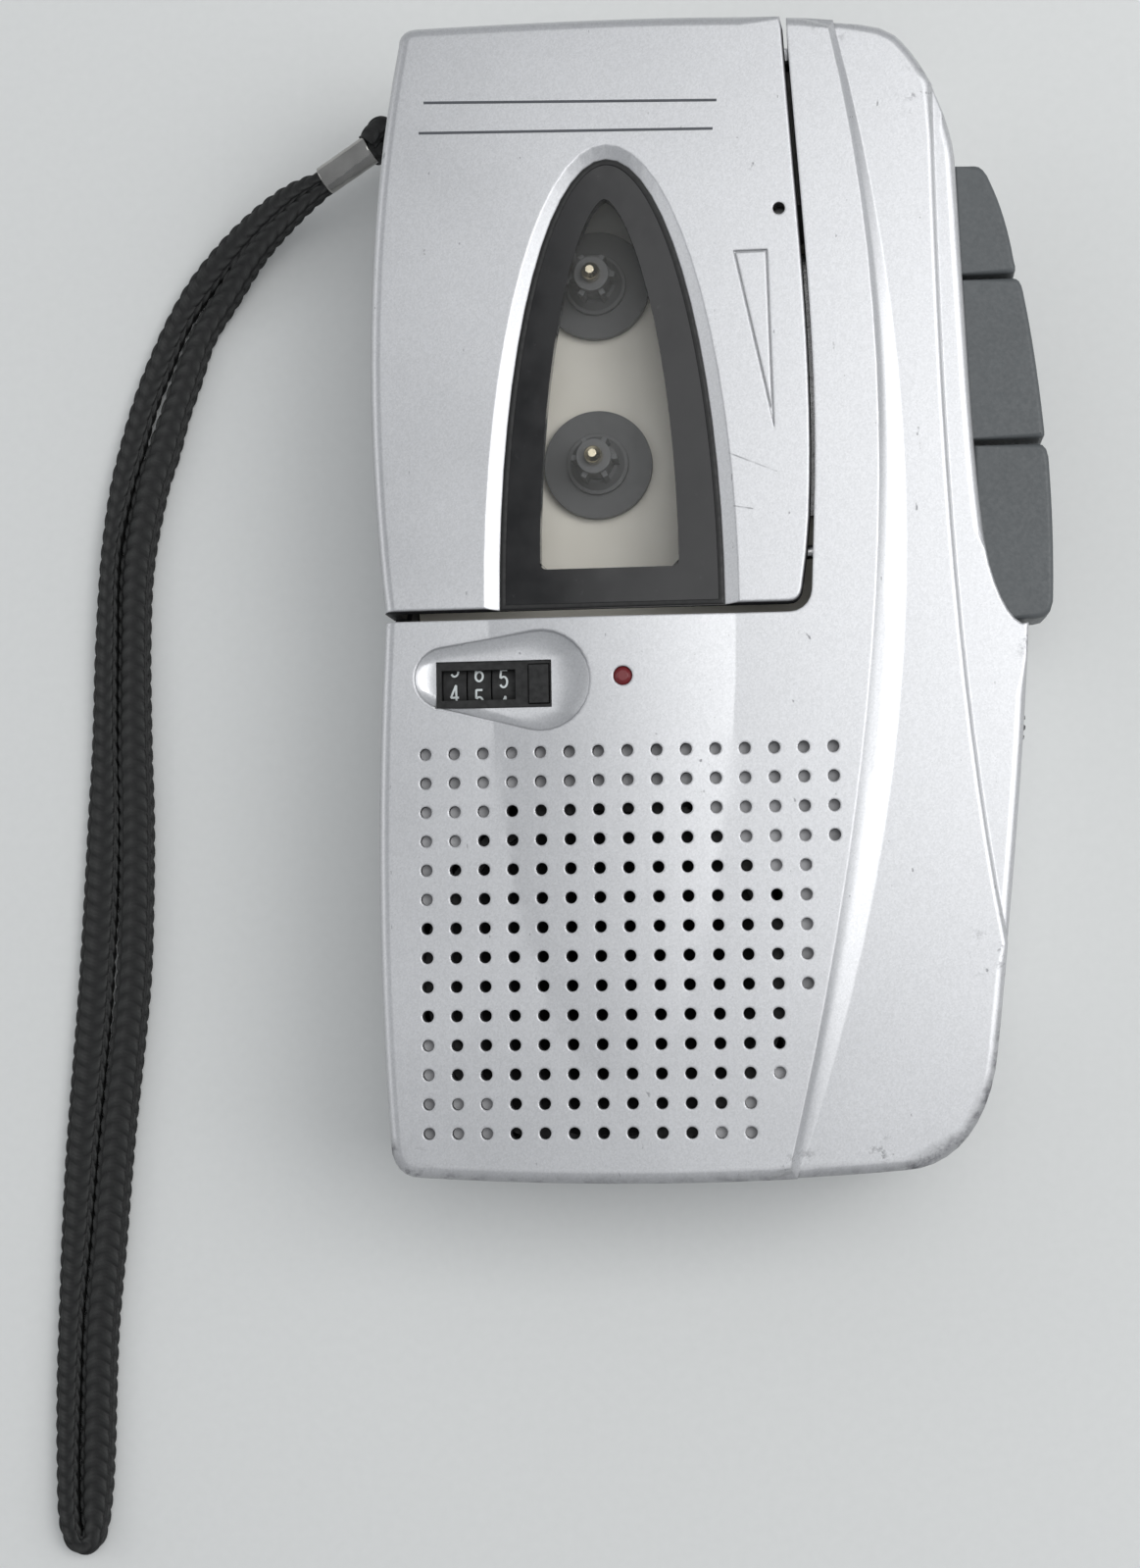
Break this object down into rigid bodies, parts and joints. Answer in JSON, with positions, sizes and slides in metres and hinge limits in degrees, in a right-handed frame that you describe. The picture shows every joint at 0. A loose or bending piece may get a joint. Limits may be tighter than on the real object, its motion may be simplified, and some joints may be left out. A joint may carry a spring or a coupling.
{
  "type": "microcassette recorder",
  "caption": "Slim handheld microcassette recorder with arched window door, side keys, tape counter, speaker grille and a flat braided wrist strap.",
  "frame": {"origin": "middle of the footprint of case and keys, on the surface the back rests on; the strap is left out", "axes": "+Z out of the front face, +Y toward the top end with the jacks, +X toward the side keys"},
  "size_m": [0.1157, 0.1699, 0.0276],
  "materials": {
    "silver_paint": "silver metallic paint on moulded plastic",
    "black_gloss": "polished black",
    "clear_window": "clear acrylic",
    "steel": "plain",
    "cream_plastic": "moulded",
    "grey_plastic": "moulded",
    "brass": "turned",
    "rubber": "ground",
    "head_chrome": "polished",
    "key_plastic": "moulded, fine grain",
    "black_plastic": "moulded",
    "red_lens": "translucent dark red",
    "can_aluminium": "drawn can",
    "black_metal": "black",
    "paper_cone": "pressed black paper",
    "board_green": "solder mask",
    "cell_sleeve": "plain printed sleeve",
    "strap_braid": "flat black braid",
    "ferrule_metal": "satin tube"
  },
  "bodies": {
    "case": {"rear_housing": "silver_paint", "front_housing": "silver_paint", "hinge_pins": "steel", "housing_screws": "steel", "deck_plate": "cream_plastic", "capstan_bearing": "brass", "idler_shaft": "steel", "motor": "steel", "drive_belt": "rubber", "carriage_guides": "steel", "counter_frame": "black_plastic", "counter_axle": "steel", "led_lens": "red_lens", "mic_capsule": "can_aluminium", "speaker_frame": "black_metal", "speaker_cone": "paper_cone", "speaker_magnet": "black_metal", "circuit_board": "board_green", "board_parts": "black_plastic", "volume_pot": "steel", "ear_jack": "black_plastic", "mic_jack": "black_plastic", "dc_jack": "black_plastic", "switch_bodies": "steel", "cells": "cell_sleeve", "cell_contacts": "steel", "strap_bar": "steel", "strap_cord": "strap_braid", "strap_ferrule": "ferrule_metal", "wrist_strap": "strap_braid"},
    "door": {"cassette_door": "silver_paint", "window_bezel": "black_gloss", "window_lens": "clear_window"},
    "cover": {"battery_cover": "silver_paint"},
    "supply": {"supply_reel": "grey_plastic", "supply_shaft": "steel"},
    "takeup": {"takeup_reel": "grey_plastic", "takeup_shaft": "steel", "takeup_wheel": "cream_plastic"},
    "capstan": {"flywheel": "brass", "capstan_shaft": "steel"},
    "idler": {"idler_wheel": "rubber"},
    "rotor": {"motor_pulley": "brass"},
    "carriage": {"head_carriage": "steel", "record_head": "head_chrome", "erase_head": "grey_plastic", "pinch_shaft": "steel"},
    "roller": {"pinch_roller": "rubber"},
    "key_upper": {"upper_key": "key_plastic"},
    "key_middle": {"middle_key": "key_plastic"},
    "key_lower": {"lower_key": "key_plastic"},
    "count_units": {"units_wheel": "black_plastic"},
    "count_tens": {"tens_wheel": "black_plastic"},
    "count_hundreds": {"hundreds_wheel": "black_plastic"},
    "reset": {"reset_button": "black_plastic"},
    "volume": {"volume_wheel": "black_plastic"},
    "speed": {"speed_switch": "black_plastic"},
    "vox": {"vox_switch": "black_plastic"}
  },
  "joints": [
    {"name": "door_hinge", "type": "hinge", "parent": "case", "child": "door", "pos_m": [0, 0.0042, 0.0236], "axis": [1, 0, 0], "range_deg": [0, 60]},
    {"name": "cover_slide", "type": "slide", "parent": "case", "child": "cover", "axis": [0, -1, 0], "range_m": [0, 0.06]},
    {"name": "supply_spin", "type": "hinge", "parent": "case", "child": "supply", "pos_m": [-0.0127, 0.0359, 0.015], "axis": [0, 0, 1], "continuous": true},
    {"name": "capstan_spin", "type": "hinge", "parent": "case", "child": "capstan", "pos_m": [0.0008, 0.0125, 0.015], "axis": [0, 0, 1], "continuous": true},
    {"name": "rotor_spin", "type": "hinge", "parent": "case", "child": "rotor", "pos_m": [0.0135, 0.036, 0.015], "axis": [0, 0, 1], "continuous": true},
    {"name": "idler_spin", "type": "hinge", "parent": "case", "child": "idler", "pos_m": [-0.00155, 0.01883, 0.015], "axis": [0, 0, 1], "continuous": true},
    {"name": "takeup_spin", "type": "hinge", "parent": "case", "child": "takeup", "pos_m": [-0.0127, 0.0158, 0.015], "axis": [0, 0, 1], "continuous": true},
    {"name": "carriage_slide", "type": "slide", "parent": "case", "child": "carriage", "axis": [-1, 0, 0], "range_m": [0, 0.0025], "stiffness_N_per_m": 500, "springref_m": -0.001},
    {"name": "roller_spin", "type": "hinge", "parent": "carriage", "child": "roller", "pos_m": [0.00715, 0.0125, 0.015], "axis": [0, 0, 1], "continuous": true},
    {"name": "upper_key_press", "type": "slide", "parent": "case", "child": "key_upper", "axis": [-1, 0, 0], "range_m": [0, 0.0025], "stiffness_N_per_m": 400, "springref_m": -0.001},
    {"name": "middle_key_press", "type": "slide", "parent": "case", "child": "key_middle", "axis": [-1, 0, 0], "range_m": [0, 0.0025]},
    {"name": "lower_key_press", "type": "slide", "parent": "case", "child": "key_lower", "axis": [-1, 0, 0], "range_m": [0, 0.0025], "stiffness_N_per_m": 400, "springref_m": -0.001},
    {"name": "units_turn", "type": "hinge", "parent": "case", "child": "count_units", "pos_m": [-0.0276, -0.00935, 0.0208], "axis": [-1, 0, 0], "continuous": true},
    {"name": "tens_turn", "type": "hinge", "parent": "case", "child": "count_tens", "pos_m": [-0.0276, -0.00935, 0.0208], "axis": [-1, 0, 0], "continuous": true},
    {"name": "hundreds_turn", "type": "hinge", "parent": "case", "child": "count_hundreds", "pos_m": [-0.0276, -0.00935, 0.0208], "axis": [-1, 0, 0], "continuous": true},
    {"name": "reset_press", "type": "slide", "parent": "case", "child": "reset", "axis": [0, 0, -1], "range_m": [0, 0.0008], "stiffness_N_per_m": 300, "springref_m": -0.0005},
    {"name": "volume_turn", "type": "hinge", "parent": "case", "child": "volume", "pos_m": [0.0261, -0.014, 0.016], "axis": [0, 0, 1], "range_deg": [0, 270]},
    {"name": "speed_slide", "type": "slide", "parent": "case", "child": "speed", "axis": [1, 0, 0], "range_m": [-0.0015, 0.0015]},
    {"name": "vox_slide", "type": "slide", "parent": "case", "child": "vox", "axis": [1, 0, 0], "range_m": [-0.0015, 0.0015]}
  ],
  "couplings": [
    {"joint": "rotor_spin", "follows": "capstan_spin", "ratio": 4.68},
    {"joint": "idler_spin", "follows": "capstan_spin", "ratio": -0.48889},
    {"joint": "takeup_spin", "follows": "capstan_spin", "ratio": 0.31429},
    {"joint": "units_turn", "follows": "capstan_spin", "ratio": 0.031429},
    {"joint": "tens_turn", "follows": "capstan_spin", "ratio": 0.0031429},
    {"joint": "hundreds_turn", "follows": "capstan_spin", "ratio": 0.00031429},
    {"joint": "middle_key_press", "follows": "carriage_slide", "ratio": 1}
  ]
}
